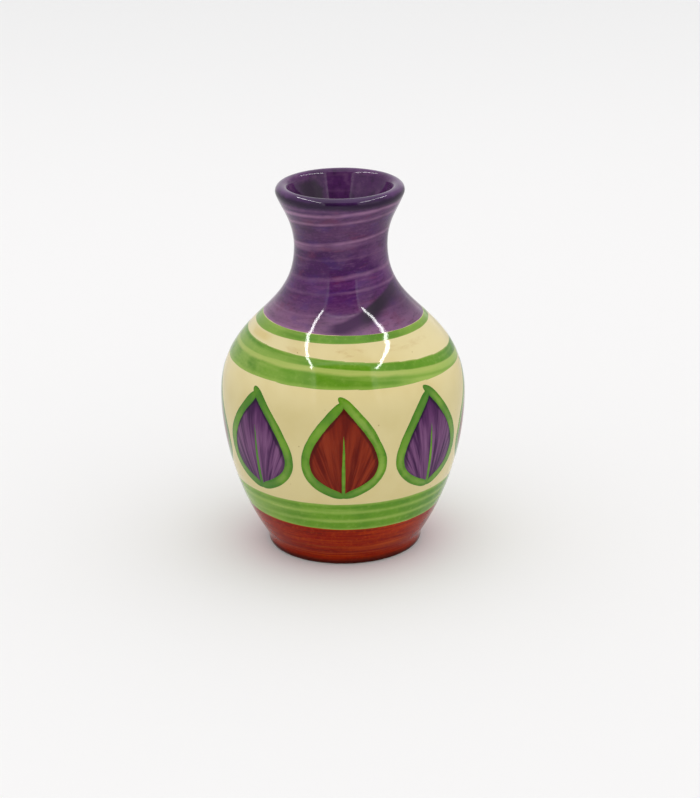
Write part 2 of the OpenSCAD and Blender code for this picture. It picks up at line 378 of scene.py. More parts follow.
def leafTree():  # a field of paint with a round foot and a pointed tip
    g, given = startShape("leaf field", {**leafInputs, "Columns": 65, "Rows": 81, "Finish": None})
    grid, onTop, w, share = leafGrid(g, given)
    half, rise = leafSide(given, share)
    half = g.math("MAXIMUM", half, 0.0)
    waves = [g.noise(g.join(rise, shift, 0.0), 260.0, given["Seed"] + shift) - 0.5 for shift in (0.0, 5.0)]
    ends = g.ease(half, 0.0, 1.5 * mm)  # no waves where the leaf comes to a point
    left = -half + waves[0] * given["Wobble"] * ends
    right = half + waves[1] * given["Wobble"] * ends
    x = left + (right - left) * w
    inset = g.math("MINIMUM", x - left, right - x)
    return endShape(g, layOnLeaf(g, given, grid, onTop, inset, x, rise), given["Finish"])


def outlineTree():  # two brush strokes up the sides of a leaf, which cross at its tip, and one up its middle
    g, given = startShape("leaf outline", {
        **leafInputs, "Stroke": 0.0016, "Overrun": 0.03, "Rib": 0.001, "Rib Share": 0.7, "Columns": 33, "Rows": 121,
        "Finish": None})
    form = leafStroke
    strokes = []
    for side, overrun in form["overruns"]:
        shift = 0.0 if side > 0 else 9.0
        grid, onTop, w, share = leafGrid(g, given)
        before = form["footOverrun"] * given["Overrun"]
        t = share * (1.0 + given["Overrun"] * overrun + before) - before
        across, rise = leafSide(given, t)
        ahead, behind = leafSide(given, t + form["step"]), leafSide(given, t - form["step"])
        wayX, wayY = ahead[0] - behind[0], ahead[1] - behind[1]
        size = g.math("SQRT", wayX * wayX + wayY * wayY)
        drift = (g.noise(g.join(rise, shift, 1.0), 120.0, given["Seed"] + shift, 1.0) - 0.5) * given["Wobble"]
        end = g.math("MAXIMUM", (abs(2.0 * share - 1.0) - (1.0 - form["roundEnd"])) / form["roundEnd"], 0.0)
        swell = 1.0 + form["swell"] * (g.noise(g.join(rise, shift, 2.0), 170.0, given["Seed"] + shift) - 0.5)
        half = 0.5 * given["Stroke"] * swell * g.math("SQRT", g.math("MAXIMUM", 1.0 - end * end, 0.0))
        off = (2.0 * w - 1.0) * half
        x = side * (across + (off + drift) * wayY / size)
        rise = rise - (off + drift) * wayX / size
        shape = layOnLeaf(g, given, grid, onTop, half - abs(off), x, rise)
        strokes.append(g.node("GeometryNodeFlipFaces", None, {"Mesh": shape}) if side < 0 else shape)
    grid, onTop, w, share = leafGrid(g, given)
    rise = share * given["Rib Share"] * (given["High"] - given["Low"])
    swell = 1.0 + form["ribSwell"] * (g.noise(g.join(rise, 4.0, 2.0), 240.0, given["Seed"]) - 0.5)
    thinned = g.math("MAXIMUM", 1.0 - g.math("POWER", share, form["ribTaper"]), 0.0)
    half = 0.5 * given["Rib"] * swell * g.math("SQRT", thinned)
    off = (2.0 * w - 1.0) * half
    drift = (g.noise(g.join(rise, 4.0, 1.0), 120.0, given["Seed"] + 4.0, 1.0) - 0.5) * given["Wobble"] * share
    strokes.append(layOnLeaf(g, given, grid, onTop, half - abs(off), off + drift, rise))
    joined = g.node("GeometryNodeJoinGeometry", out=None)
    for stroke in strokes:
        g.tree.links.new(stroke.socket, joined.inputs[0])
    return endShape(g, Wire(g, joined.outputs[0]), given["Finish"])


def makePiece(name, tree, line, values, finish):  # a plain mesh in the place of the node of its name
    guide = bpy.data.meshes.new(name + "Line")
    guide.from_pydata([(r, 0.0, z) for r, z in line], [(i, i + 1) for i in range(len(line) - 1)], [])
    host = addObject(name + "Host", guide)
    shaper = host.modifiers.new("shape", "NODES")
    shaper.node_group = tree
    inputs = {item.name: item.identifier for item in tree.interface.items_tree if item.in_out == "INPUT"}
    for label, value in {**values, "Finish": finishes[finish]}.items():
        shaper[inputs[label]] = value
    bpy.context.view_layer.update()
    made = host.evaluated_get(bpy.context.evaluated_depsgraph_get())
    mesh = bpy.data.meshes.new_from_object(made)
    host.modifiers.remove(shaper)
    bpy.data.objects.remove(host)
    piece = addObject(name, mesh)
    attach(piece, "root")
    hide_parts(name)


def tone(red, green, blue):  # a colour as it is on screen, 0 to 255
    shares = [c / 255 for c in (red, green, blue)]
    return tuple([s / 12.92 if s < 0.0405 else ((s + 0.055) / 1.055) ** 2.4 for s in shares] + [1.0])


def fired(name, paint, bumps=0.03, gloss=0.3):  # a fired finish, whose colour and roughness come from paint()
    made = bpy.data.materials.new(name)
    g = emptyGraph(made)
    place = g.node("ShaderNodeTexCoord", out="Object")
    x, y, z = g.split(place)
    turn = g.math("ARCTAN2", x, -y)  # from the front, positive to the right
    colour, rough, height = paint(g, place, turn, z / mm)
    bump = g.node("ShaderNodeBump", None, {"Strength": bumps, "Distance": 0.2 * mm, "Height": height}, out="Normal")
    shader = g.node("ShaderNodeBsdfPrincipled", None, {
        "Base Color": colour, "Roughness": rough, "Specular IOR Level": gloss, "Normal": bump})
    g.node("ShaderNodeOutputMaterial", None, {"Surface": shader}, out=None)
    return made


def glossy(brush, rough=0.045):  # fired paint is a little duller along the brush
    return rough + brush * 0.03


def brushed(g, place, around, up, seed, detail=3.0, rough=0.55):  # noise drawn out along or across the brush
    drawn = g.node("ShaderNodeVectorMath", {"operation": "MULTIPLY"}, {0: place, 1: (around, around, up)})
    return g.noise(drawn, 1.0, seed, detail, rough)


def sloped(g, place, turn, rise):  # places moved so that a stroke that rises to the right lies level
    x, y, z = g.split(place)
    return g.join(x, y, z - g.math("SINE", turn) * (rise * mm))


def millimetres(g, label):  # a distance kept on the paint
    return g.node("ShaderNodeAttribute", {"attribute_name": label}, out="Fac") / mm


# Heights below are in millimetres, turns in radians from the front to the right
creamLook = {"base": tone(225, 208, 152), "warm": tone(216, 196, 134), "pale": tone(232, 218, 168),
             "belly": tone(205, 192, 138), "bellyShadeHeights": (38.0, 31.0), "paleHeights": (36.0, 42.0),
             "paleTurns": (0.4, 1.0, 1.8, 2.4), "speck": tone(132, 100, 48), "speckScale": 620.0, "speckSize": 0.13,
             "smudge": tone(186, 146, 86), "smudgeHeight": 42.8, "smudgeTurn": -0.05,
             "stain": tone(216, 190, 116), "stainHeight": 43.6, "stainTurn": -1.15}


def creamPaint(g, place, turn, z):
    look = creamLook
    cloud = g.noise(place, 120.0, 1.0, 3.0)
    colour = g.layer(look["base"], look["warm"], cloud, 0.4, 0.75)
    colour = g.layer(colour, look["pale"], g.noise(place, 60.0, 2.0), 0.45, 0.7, 0.7)
    # Paler at the right of the shoulder: painted light, as if more light fell there from the right.
    right = g.span(turn, *look["paleTurns"]) * g.ease(z, *look["paleHeights"])
    colour = g.blend(right * 0.7, colour, look["pale"])
    # Darker low on the belly: painted shade, as less light from above reaches it.
    colour = g.layer(colour, look["belly"], z, *look["bellyShadeHeights"], 0.55)
    dots, pick = g.node("ShaderNodeTexVoronoi", None, {"Vector": place, "Scale": look["speckScale"]}, out=(0, 1))
    dot = g.ease(dots, look["speckSize"], 0.3 * look["speckSize"]) * g.ease(g.split(pick)[0], 0.86, 1.0)
    colour = g.blend(dot * 0.7, colour, look["speck"])
    smear = g.ease(brushed(g, place, 260.0, 900.0, 4.0, 4.0), 0.5, 0.72)
    smear = smear * g.ease(abs(z - look["smudgeHeight"]), 0.9, 0.3)
    smear = smear * g.ease(abs(turn - look["smudgeTurn"]), 0.5, 0.2, 0.3)
    colour = g.blend(smear * 0.75, colour, look["smudge"])
    pooled = g.ease(abs(turn - look["stainTurn"] + (cloud - 0.5)), 0.35, 0.1)
    pooled = pooled * g.ease(abs(z - look["stainHeight"]), 0.9, 0.2)
    colour = g.blend(pooled * 0.6, colour, look["stain"])
    return colour, 0.045 + cloud * 0.02, g.noise(place, 700.0, 5.0)


purpleLook = {"mid": tone(82, 38, 92), "dark": tone(44, 19, 54), "pale": tone(122, 82, 121),
              "line": tone(166, 120, 156), "lip": tone(36, 15, 46), "crest": tone(74, 40, 90),
              "crestReflection": tone(108, 66, 120), "blue": tone(62, 36, 108), "ruddy": tone(108, 40, 72),
              "thick": tone(56, 3, 64), "dull": tone(45, 31, 49)}
neckLook = {
    "low": 44.0, "high": 70.0, "slope": 0.95, "edgeHeight": 45.2, "edgeFall": 0.43,
    "tones": [(44.0, (140, 98, 132)), (46.8, (130, 88, 124)), (48.6, (102, 60, 103)), (50.5, (85, 38, 92)),
              (53.5, (92, 41, 100)), (55.0, (67, 17, 81)), (57.2, (66, 15, 78)), (59.5, (63, 18, 74)),
              (62.5, (82, 41, 87)), (64.6, (78, 35, 83)), (66.2, (90, 50, 94)), (67.6, (72, 32, 84)),
              (70.0, (76, 38, 90))],
    # height at the front, rise to the right, half width, strength, and what that gains to the right
    "lines": [(66.95, 0.85, 0.65, 0.78, 0.0), (65.1, 0.9, 0.5, 0.56, 0.0), (60.95, 1.2, 0.6, 0.62, 0.0),
              (60.4, 1.1, 1.0, 0.3, -0.2), (54.45, 0.95, 0.6, 0.36, 0.16), (51.85, 0.75, 0.42, 0.3, 0.12),
              (67.9, 0.5, 0.7, 0.2, 0.0), (57.9, 0.6, 0.4, 0.12, 0.0), (48.2, 0.3, 0.3, 0.25, 0.0)],
    # where two strokes lie over each other: the upper edge, which is lifted at its left end, and the turns
    "overlap": {"height": 47.3, "rise": 5.2, "lift": 0.6, "depth": 3.3, "thickTurns": (-0.28, -0.05, 0.4, 0.8),
                "dullTurns": (0.2, 0.42, 1.05, 1.5)}, "rightShadeTurns": (0.6, 1.2, 1.5, 2.0)}


def neckColour(g, place, turn, z):
    look = purpleLook
    swing = g.math("SINE", turn)
    level = sloped(g, place, turn, neckLook["slope"])
    fine = brushed(g, level, 360.0, 1900.0, 11.0, 4.0, 0.65)
    grain = brushed(g, level, 1500.0, 2900.0, 17.0, 2.0, 0.6)
    brush = brushed(g, level, 45.0, 420.0, 12.0, 3.0)
    hue = brushed(g, level, 260.0, 560.0, 16.0, 3.0)
    broad = g.noise(place, 130.0, 13.0, 3.0)
    drift = (g.noise(place, 150.0, 14.0) - 0.5) * 0.6
    low, tall = neckLook["low"], neckLook["high"] - neckLook["low"]
    lean = g.ease(z, 47.0, 52.0, -0.5, neckLook["slope"])  # the lowest strokes fall to the right
    share = (z - swing * lean + drift * 1.5 - low) / tall
    stops = [((height - low) / tall, tone(*colour)) for height, colour in neckLook["tones"]]
    colour = g.node("ShaderNodeValToRGB", {"stops": stops}, {0: share})
    for kind, value, start, end, amount in (
            ("dark", brush, 0.46, 0.26, 0.5), ("pale", broad, 0.5, 0.75, 0.45), ("dark", broad, 0.46, 0.25, 0.55),
            ("pale", fine, 0.5, 0.72, 0.34), ("dark", fine, 0.5, 0.3, 0.4), ("pale", grain, 0.5, 0.75, 0.22),
            ("dark", grain, 0.5, 0.25, 0.26), ("blue", hue, 0.52, 0.7, 0.3), ("ruddy", hue, 0.46, 0.3, 0.32)):
        colour = g.layer(colour, look[kind], value, start, end, amount)
    lines = 0.0
    for height, rise, half, strength, gain in neckLook["lines"]:
        off = abs(z - height - swing * rise + drift)
        lines = g.math("MAXIMUM", g.ease(off, half, 0.0) * (strength + gain * swing), lines)
    broken = g.ease(brushed(g, place, 110.0, 60.0, 15.0), 0.3, 0.62, 0.35)
    colour = g.blend(lines * broken * g.ease(fine, 0.2, 0.6, 0.6), colour, look["line"])
    overlap = neckLook["overlap"]
    lift = g.ease(turn, 0.05, -0.25) * overlap["lift"]
    below = swing * overlap["rise"] + overlap["height"] + lift - z + drift
    pooled = g.ease(below, -0.35, 0.35) * g.ease(below, overlap["depth"], 1.2) * g.ease(fine, 0.1, 0.45, 0.75)
    colour = g.blend(pooled * g.span(turn, *overlap["thickTurns"]) * 0.95, colour, look["thick"])
    dulled = g.span(turn, *overlap["dullTurns"]) * g.ease(turn, 0.95, 0.65, 0.8)
    colour = g.blend(pooled * dulled, colour, look["dull"])
    # Darker at the right of the lower neck: painted shade.
    rightShade = g.span(turn, *neckLook["rightShadeTurns"]) * g.ease(z, 51.5, 49.5) * g.ease(z, 46.0, 48.0, 0.5)
    colour = g.blend(rightShade * 0.4, colour, look["dark"])
    return colour, fine


def neckPaint(g, place, turn, z):
    colour, fine = neckColour(g, place, turn, z)
    swing = g.math("SINE", turn)
    thin = g.ease(z - neckLook["edgeHeight"] + neckLook["edgeFall"] * swing, 0.7, 0.1)
    thin = thin * g.ease(swing, 0.3, -0.6, 0.25)
    return g.blend(thin * 0.6, colour, purpleLook["line"]), glossy(fine), fine


mouthLook = {"thickTurns": (-2.38, -2.1, -1.7, -1.2), "thickHeights": (69.2, 68.0)}


def mouthColour(g, place, turn, z):
    look = purpleLook
    brush = brushed(g, place, 70.0, 700.0, 22.0)
    patch = g.noise(place, 130.0, 24.0)
    mottle = g.noise(place, 600.0, 25.0, 3.0, 0.6)
    colour = g.layer(look["mid"], look["pale"], brush, 0.45, 0.8, 0.5)
    colour = g.layer(colour, look["dark"], patch, 0.5, 0.3, 0.6)
    colour = g.layer(colour, look["pale"], mottle, 0.5, 0.7, 0.4)
    colour = g.layer(colour, look["dark"], mottle, 0.5, 0.3, 0.5)
    thick = g.span(turn + patch, *mouthLook["thickTurns"]) * g.ease(z, *mouthLook["thickHeights"])
    return g.blend(thick * 0.85, colour, look["dull"]), brush


def mouthPaint(g, place, turn, z):
    colour, brush = mouthColour(g, place, turn, z)
    return colour, glossy(brush, 0.05), brush


lipLook = {"dark": (67.4, 68.5), "crest": (68.9, 69.75), "mouthRadius": (10.7, 10.1)}


def lipPaint(g, place, turn, z):
    look = purpleLook
    colour, fine = neckColour(g, place, turn, z)
    patch = g.noise(place, 160.0, 21.0, 3.0)
    mottle = g.noise(place, 900.0, 23.0, 3.0, 0.6)
    x, y = g.split(place)[:2]
    reach = g.math("SQRT", x * x + y * y) / mm
    colour = g.layer(colour, look["lip"], z + (patch - 0.5) * 1.4 + (mottle - 0.5) * 0.5, *lipLook["dark"], 0.95)
    top = g.ease(z + (patch - 0.5) * 0.7 + (mottle - 0.5) * 0.6, *lipLook["crest"]) * g.ease(patch, 0.35, 0.65, 0.5)
    # The top of the lip is paler towards the sides and back: painted reflection.
    crest = g.layer(look["crest"], look["crestReflection"], abs(turn), 0.5, 1.3)
    colour = g.blend(top * 0.9, colour, crest)
    inner = mouthColour(g, place, turn, z)[0]
    return g.layer(colour, inner, reach, *lipLook["mouthRadius"]), glossy(fine), fine


greenLook = {"mid": tone(99, 148, 31), "deep": tone(78, 130, 22), "pale": tone(158, 184, 86),
             "thin": tone(190, 196, 108), "wet": tone(54, 112, 30)}


def greenBrush(g, place, turn, rise, seed):
    look = greenLook
    brush = brushed(g, sloped(g, place, turn, rise), 45.0, 800.0, seed)
    mottle = g.noise(place, 1100.0, seed + 2.0, 3.0, 0.6)
    colour = g.layer(look["deep"], look["mid"], g.noise(place, 110.0, seed + 1.0), 0.3, 0.6)
    colour = g.layer(colour, look["pale"], mottle, 0.5, 0.72, 0.24)
    colour = g.layer(colour, look["deep"], mottle, 0.5, 0.28, 0.4)
    return g.layer(colour, look["pale"], brush, 0.48, 0.75, 0.6), brush


def linePaint(g, place, turn, z):  # paler towards the sides
    colour, brush = greenBrush(g, place, turn, -0.2, 31.0)
    pale = g.ease(abs(turn), 0.35, 1.0) * g.ease(brush, 0.25, 0.6, 0.5)
    colour = g.blend(pale * 0.5, colour, greenLook["pale"])
    return g.layer(colour, greenLook["thin"], millimetres(g, "edge"), 0.3, 0.0, 0.25), glossy(brush), brush


upperLook = {"rise": -1.4, "paleTurns": (-2.4, -1.8, -0.7, -0.2)}


def upperPaint(g, place, turn, z):  # paler along its lower edge at the left
    colour, brush = greenBrush(g, place, turn, upperLook["rise"], 33.0)
    ragged = (brushed(g, place, 300.0, 120.0, 35.0) - 0.5) * 0.7
    pale = g.span(turn, *upperLook["paleTurns"]) * g.ease(millimetres(g, "drop") + ragged, 0.4, 1.2)
    colour = g.blend(pale * 0.5, colour, greenLook["pale"])
    edge = millimetres(g, "edge") + ragged * 0.4
    return g.layer(colour, greenLook["thin"], edge, 0.35, 0.0, 0.5), glossy(brush), brush


upperThinLook = {"rise": -1.4, "wornRise": -2.2, "thinDrops": (1.35, 0.65), "paleTurns": (0.4, 0.8, 1.9, 2.7),
                 "paleHeights": (39.2, 38.2), "seamTurns": (0.3, 0.6, 1.5, 2.0), "seamDrop": 1.5}


def upperThinPaint(g, place, turn, z):  # thin along its upper edge, worn towards the sides, pale low at the right
    look, stroke = greenLook, upperThinLook
    colour, brush = greenBrush(g, place, turn, stroke["rise"], 36.0)
    ragged = (brushed(g, place, 260.0, 160.0, 38.0) - 0.5) * 0.8
    drop = millimetres(g, "drop")
    colour = g.layer(colour, look["thin"], drop + ragged, *stroke["thinDrops"], 0.8)
    worn = brushed(g, sloped(g, place, turn, stroke["wornRise"]), 190.0, 520.0, 34.0, 4.0, 0.6)
    worn = g.ease(worn, 0.3, 0.7)
    colour = g.blend(worn * g.ease(abs(turn), 0.3, 0.9, 0.25) * 0.6, colour, look["pale"])
    low = g.ease(millimetres(g, "edge") + ragged * 0.6, 0.9, 0.1) * 0.5
    right = g.ease(z - ragged + g.math("SINE", turn) * 0.5, *stroke["paleHeights"])
    right = right * g.span(turn, *stroke["paleTurns"])
    colour = g.blend(g.math("MAXIMUM", low, right * 0.9), colour, look["pale"])
    seam = g.ease(abs(drop + ragged * 0.4 - stroke["seamDrop"]), 0.5, 0.0) * g.span(turn, *stroke["seamTurns"])
    return g.blend(seam * 0.5, colour, look["mid"]), glossy(brush), brush


lowerLook = {"paleTurns": (-2.4, -1.6, -0.8, -0.3), "thinTurns": (-0.9, 0.3, 1.9, 2.7)}


def lowerPaint(g, place, turn, z):  # paler at the left, with ragged thin edges
    look = greenLook
    colour, brush = greenBrush(g, place, turn, 0.0, 39.0)
    ragged = (brushed(g, place, 240.0, 500.0, 41.0) - 0.5) * 0.6
    pale = g.span(turn, *lowerLook["paleTurns"]) * g.ease(brush, 0.25, 0.65, 0.3)
    colour = g.blend(pale * 0.45, colour, look["pale"])
    share = 0.4 + 0.2 * g.span(turn, *lowerLook["thinTurns"])
    return g.layer(colour, look["pale"], millimetres(g, "edge") + ragged, 0.75, 0.0, share), glossy(brush), brush


def outlinePaint(g, place, turn, z):  # a loaded brush: thin in the middle of its stroke, wet at the sides
    look = greenLook
    brush = g.noise(place, 420.0, 43.0, 4.0, 0.6)
    edge = millimetres(g, "edge")
    patch = g.ease(g.noise(place, 130.0, 44.0), 0.35, 0.65, 0.15)
    colour = g.layer(look["deep"], look["mid"], brush, 0.3, 0.6)
    colour = g.layer(colour, look["pale"], edge + (brush - 0.5) * 0.8, 0.25, 0.8, patch * 0.5)
    colour = g.layer(colour, look["wet"], g.noise(place, 90.0, 45.0, 3.0), 0.45, 0.7, 0.75)
    wet = g.ease(patch, 0.9, 0.4, 0.15) * 0.6
    return g.layer(colour, look["wet"], edge + (brush - 0.5) * 0.5, 0.35, 0.05, wet), glossy(brush, 0.05), brush


redLook = {"mid": tone(160, 42, 4), "deep": tone(134, 20, 2), "pale": tone(194, 82, 14), "dark": tone(60, 14, 8),
           "brown": tone(92, 20, 8), "low": tone(120, 16, 1), "lowHeights": (6.0, 2.0), "poolAndShadeHeights": (1.5, 0.5),
           "streaks": ((4.3, 0.3, 0.5), (2.5, 0.22, 0.45), (2.0, 0.16, 0.35))}  # height, half width, strength


def footPaint(g, place, turn, z):
    look = redLook
    brush = brushed(g, place, 45.0, 900.0, 45.0, 4.0, 0.6)
    broad = brushed(g, place, 60.0, 260.0, 46.0)
    hairs = brushed(g, place, 80.0, 2400.0, 48.0, 3.0, 0.6)
    grain = g.noise(place, 1500.0, 49.0, 2.0, 0.6)
    uneven = (g.noise(place, 120.0, 47.0) - 0.5) * 0.8
    colour = g.layer(look["deep"], look["mid"], broad, 0.35, 0.65)
    for kind, value, start, end, amount in (
            ("pale", brush, 0.5, 0.75, 0.6), ("brown", hairs, 0.48, 0.64, 0.65), ("pale", hairs, 0.46, 0.3, 0.3),
            ("pale", grain, 0.5, 0.75, 0.3), ("brown", grain, 0.5, 0.25, 0.35), ("low", z, *look["lowHeights"], 0.5)):
        colour = g.layer(colour, look[kind], value, start, end, amount)
    for height, half, strength in look["streaks"]:
        streak = g.ease(abs(z - height + uneven * 0.4), half, 0.0) * g.ease(broad, 0.35, 0.6)
        colour = g.blend(streak * strength, colour, look["pale"])
    # Darkest at the very bottom: paint pooled at the foot's edge, and painted shade where the foot meets the floor.
    return g.layer(colour, look["dark"], z + uneven, *look["poolAndShadeHeights"], 0.9), glossy(brush), brush


redLeafLook = {"mid": tone(120, 27, 8), "deep": tone(94, 15, 4), "pale": tone(144, 54, 26), "wet": tone(74, 11, 4)}
purpleLeafLook = {"mid": tone(86, 37, 90), "deep": tone(58, 22, 66), "pale": tone(136, 94, 132),
                  "wet": tone(36, 16, 44)}
leafBrush = {"drawnTo": 22.5, "streaks": 13.0, "hairs": 45.0, "paleDrops": (4.0, 13.0), "footDrops": (20.0, 14.0),
             "darkDrops": (8.0, 3.0), "wetDrops": (20.0, 8.0), "wetEdge": (1.7, 1.15)}


def leafPaint(look, seed):  # drawn to a point at the foot: dark above, streaked and thin below, wet round the edge
    def paint(g, place, turn, z):
        drop, side, edge = (millimetres(g, label) for label in ("drop", "side", "edge"))
        fan = side / (leafBrush["drawnTo"] - drop)
        around = g.math("WRAP", turn, 0.875 * math.pi, -1.125 * math.pi) * 3.0  # steps only between two leaves
        streak = g.noise(g.join(fan * leafBrush["streaks"], drop * 0.08, around), 1.0, seed, 3.0, 0.5)
        hairs = g.noise(g.join(fan * leafBrush["hairs"], drop * 0.2, around), 1.0, seed + 2.0, 2.0)
        pool = g.noise(place, 200.0, seed + 1.0)
        fall = g.ease(drop + pool * 6.0, *leafBrush["paleDrops"]) * g.ease(drop, *leafBrush["footDrops"], 0.4)
        colour = g.layer(look["deep"], look["mid"], streak, 0.35, 0.65)
        colour = g.layer(colour, look["pale"], streak, 0.36, 0.7, fall * 0.75)
        colour = g.layer(colour, look["pale"], hairs, 0.5, 0.75, 0.1 + 0.25 * fall)
        colour = g.layer(colour, look["deep"], hairs, 0.5, 0.25, 0.22)
        colour = g.layer(colour, look["deep"], drop + pool * 5.0, *leafBrush["darkDrops"], 0.75)
        ragged = edge + (pool - 0.5) * 1.6 + (streak - 0.5) * 0.8
        wet = g.ease(drop, *leafBrush["wetDrops"], 0.45) * 0.85
        return g.layer(colour, look["wet"], ragged, *leafBrush["wetEdge"], wet), glossy(streak, 0.05), streak
    return paint


clayLook = {"dark": tone(192, 174, 138), "pale": tone(216, 201, 168), "stain": tone(170, 146, 106)}


def clayPaint(g, place, turn, z):
    grain = g.noise(place, 1400.0, 51.0, 4.0)
    colour = g.layer(clayLook["dark"], clayLook["pale"], grain, 0.3, 0.7)
    colour = g.layer(colour, clayLook["stain"], g.noise(place, 260.0, 52.0), 0.5, 0.75, 0.5)
    return colour, 0.7 + grain * 0.15, grain


finishes = {
    "clay": fired("bareClay", clayPaint, bumps=0.4, gloss=0.5),
    "cream": fired("creamGlaze", creamPaint, bumps=0.02),
    "neck": fired("purpleNeck", neckPaint),
    "lip": fired("darkLip", lipPaint),
    "mouth": fired("purpleMouth", mouthPaint),
    "line": fired("greenLine", linePaint),
    "upper": fired("greenUpperStroke", upperPaint),
    "upperThin": fired("greenThinStroke", upperThinPaint),
    "lower": fired("greenLowerStroke", lowerPaint, gloss=0.22),
    "outline": fired("greenOutline", outlinePaint, gloss=0.22),
    "foot": fired("redFoot", footPaint, gloss=0.09),
    "redLeaf": fired("redLeaf", leafPaint(redLeafLook, 61.0), gloss=0.12),
    "purpleLeaf": fired("purpleLeaf", leafPaint(purpleLeafLook, 71.0), gloss=0.12),
}
print("finishes made:", len(finishes))

turned, coat, leaf, outline = turnedTree(), coatTree(), leafTree(), outlineTree()
film = vaseForm["relief"] * mm  # what the paint stands proud by, once it has sunk into the glaze
glaze = (vaseForm["glaze"] + vaseForm["paint"]) * mm - film
under = 0.7 * glaze  # the paint's underside, within the glaze
base = glaze - 0.1 * film  # the paint's edge, just below the glaze's surface


def roundCorner(before, corner, after, radius, steps=6):  # a small curve in place of a sharp corner
    ends = []
    for other in (before, after):
        size = math.dist(corner, other)
        ends.append([corner[k] + (other[k] - corner[k]) * radius / size for k in (0, 1)])
    curve = [ends[0], corner, corner, ends[1]]
    return [curvePoint(curve, i / steps)[0] for i in range(steps + 1)]


# The clay, which shows only at the ring that the vase stands on
hollow = vaseForm["baseHollow"]
footEdge = vaseForm["footEdge"]
ringOut = footPoint[0] - footEdge
ringIn = ringOut - vaseForm["ringWidth"]
underside = [(0.0, hollow), (ringIn * 0.5, hollow)]
underside += roundCorner((0.0, hollow), (ringIn, hollow), (ringIn, 0.0), 0.3)
underside += roundCorner((ringIn, hollow), (ringIn, 0.0), (ringOut, 0.0), 0.25)
edgeSteps = 8
edgeTurns = [math.radians(-90 + i * (90 - footWrap) / edgeSteps) for i in range(edgeSteps)]
underside += [(ringOut + footEdge * math.cos(a), footEdge + footEdge * math.sin(a)) for a in edgeTurns]
clayLine = [(r * mm, z * mm) for r, z in underside] + wallLine
makePiece("clay_body", turned, clayLine, {"Points": len(clayLine)}, "clay")

# The glaze: outside, inside and under the base
coatValues = {"Film": glaze, "Taper": 0.3 * mm, "Rows": 341, "Top Share": 300 / 340}
for name, low, high in (("outer_glaze", 0.0, crestLength), ("liner_glaze", crestLength, wholeLength)):
    makePiece(name, coat, wallLine, {"Low": low, "High": high, **coatValues}, "cream")
glazeUnder = hollow - vaseForm["glaze"]
baseGlaze = [(0.0, hollow), (ringIn - 0.1, hollow), (ringIn - 0.02, glazeUnder + 0.05), (ringIn - 0.4, glazeUnder),
             (ringIn - 1.5, glazeUnder + 0.04), (ringIn * 0.5, glazeUnder + 0.05), (0.0, glazeUnder + 0.05)]
baseLine = [(r * mm, z * mm) for r, z in reversed(baseGlaze)]
makePiece("base_glaze", turned, baseLine, {"Points": len(baseLine)}, "cream")
print("clay and glaze made")

# The painted bands, in millimetres: heights at the front, tilts as the rise of the left side, sags of both sides
bands = {
    "lip_band": {"low": 67.2, "overLip": True, "rows": 81, "finish": "lip", "slot": "dark_purple_paint"},
    "neck_band": {"low": 45.1, "high": 68.0, "tiltLow": 0.43, "wobble": 0.12, "film": 0.85, "taper": 3.0, "rows": 161,
                  "finish": "neck", "slot": "purple_paint"},
    "shoulder_line": {"low": 43.97, "high": 45.28, "tiltLow": 0.1, "tiltHigh": 0.43, "wobble": 0.1, "film": 0.5,
                      "finish": "line"},
    "upper_stroke_1": {"low": 40.2, "high": 41.58, "tiltLow": 1.75, "tiltHigh": 1.95, "sagLow": 1.15, "sagHigh": 0.55,
                       "wobble": 0.15, "film": 0.5, "finish": "upper"},
    "upper_stroke_2": {"low": 37.1, "high": 40.35, "tiltLow": 0.6, "tiltHigh": 1.75, "sagHigh": 1.15, "wobble": 0.2,
                       "film": 0.45, "finish": "upperThin"},
    "lower_stroke_3": {"low": 12.85, "high": 14.8, "wobble": 0.12},
    "lower_stroke_2": {"low": 10.9, "high": 12.95, "wobble": 0.1},
    "lower_stroke_1": {"low": 8.8, "high": 11.0, "tiltLow": 0.3, "sagLow": -0.6, "wobble": 0.12},
    "foot_band": {"high": 8.9, "tiltHigh": 0.3, "sagHigh": -0.6, "wobble": 0.12, "rows": 81, "finish": "foot",
                  "slot": "red_paint"},
}
bandLengths = {"Tilt Low": "tiltLow", "Tilt High": "tiltHigh", "Sag Low": "sagLow", "Sag High": "sagHigh",
               "Wobble": "wobble"}
for number, (name, band) in enumerate(bands.items()):
    makePiece(name, coat, wallLine, {
        "Low": lengthAt(band["low"]) if "low" in band else 0.0,
        "High": mouthLength if "overLip" in band else lengthAt(band["high"]),
        **{label: band.get(key, 0.0) * mm for label, key in bandLengths.items()},
        "Seed": 5.0 + number, "Under": under, "Base": base, "Film": band.get("film", 1.0) * film,
        "Taper": band.get("taper", 0.9) * mm, "Rows": band.get("rows", 41), "Top Share": filmTop},
        band.get("finish", "lower"))
mouthBand = {"overLip": 0.95, "low": 55.0, "wobble": 0.2, "film": 0.9, "taper": 0.35}
makePiece("mouth_band", coat, wallLine, {
    "Low": mouthLength - mouthBand["overLip"] * mm, "High": lengthAt(mouthBand["low"], True),
    "Wobble": mouthBand["wobble"] * mm, "Seed": 21.0, "Under": under, "Base": base, "Film": mouthBand["film"] * film,
    "Taper": mouthBand["taper"] * mm, "Rows": 81, "Top Share": filmTop}, "mouth")
print("bands made:", len(bands) + 1)

